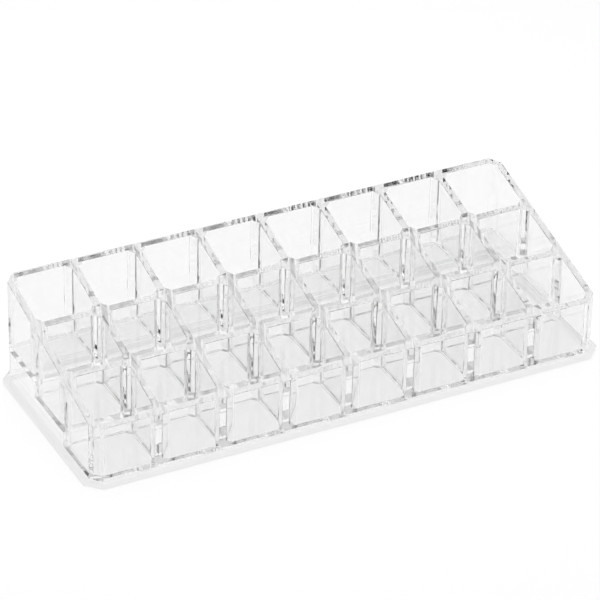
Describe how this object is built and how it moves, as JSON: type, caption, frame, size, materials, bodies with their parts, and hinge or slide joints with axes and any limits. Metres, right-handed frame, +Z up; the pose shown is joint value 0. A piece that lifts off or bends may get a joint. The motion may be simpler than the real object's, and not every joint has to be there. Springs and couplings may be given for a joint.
{
  "type": "stepped vanity organizer",
  "caption": "Clear stepped cosmetics organizer: rows of square pockets rising to the back under a sloping top edge, with a thin rim round the foot.",
  "frame": {"origin": "centre of the footprint, on the plane that the organizer stands on", "axes": "+X along the rows to the right, +Y from the low front to the high back, +Z up"},
  "size_m": [0.2406, 0.0954, 0.051],
  "materials": {
    "clear_acrylic": "clear, polished faces and flame-polished edges"
  },
  "bodies": {
    "root": {"rim_front": "clear_acrylic", "rim_right": "clear_acrylic", "rim_back": "clear_acrylic", "rim_left": "clear_acrylic", "front_wall": "clear_acrylic", "back_wall": "clear_acrylic", "left_end_wall": "clear_acrylic", "right_end_wall": "clear_acrylic", "row_wall_front": "clear_acrylic", "row_wall_rear": "clear_acrylic", "front_floor": "clear_acrylic", "middle_floor": "clear_acrylic", "back_floor": "clear_acrylic", "divider_front_1": "clear_acrylic", "divider_front_2": "clear_acrylic", "divider_front_3": "clear_acrylic", "divider_front_4": "clear_acrylic", "divider_front_5": "clear_acrylic", "divider_front_6": "clear_acrylic", "divider_front_7": "clear_acrylic", "divider_middle_1": "clear_acrylic", "divider_middle_2": "clear_acrylic", "divider_middle_3": "clear_acrylic", "divider_middle_4": "clear_acrylic", "divider_middle_5": "clear_acrylic", "divider_middle_6": "clear_acrylic", "divider_middle_7": "clear_acrylic", "divider_back_1": "clear_acrylic", "divider_back_2": "clear_acrylic", "divider_back_3": "clear_acrylic", "divider_back_4": "clear_acrylic", "divider_back_5": "clear_acrylic", "divider_back_6": "clear_acrylic", "divider_back_7": "clear_acrylic"}
  },
  "joints": []
}
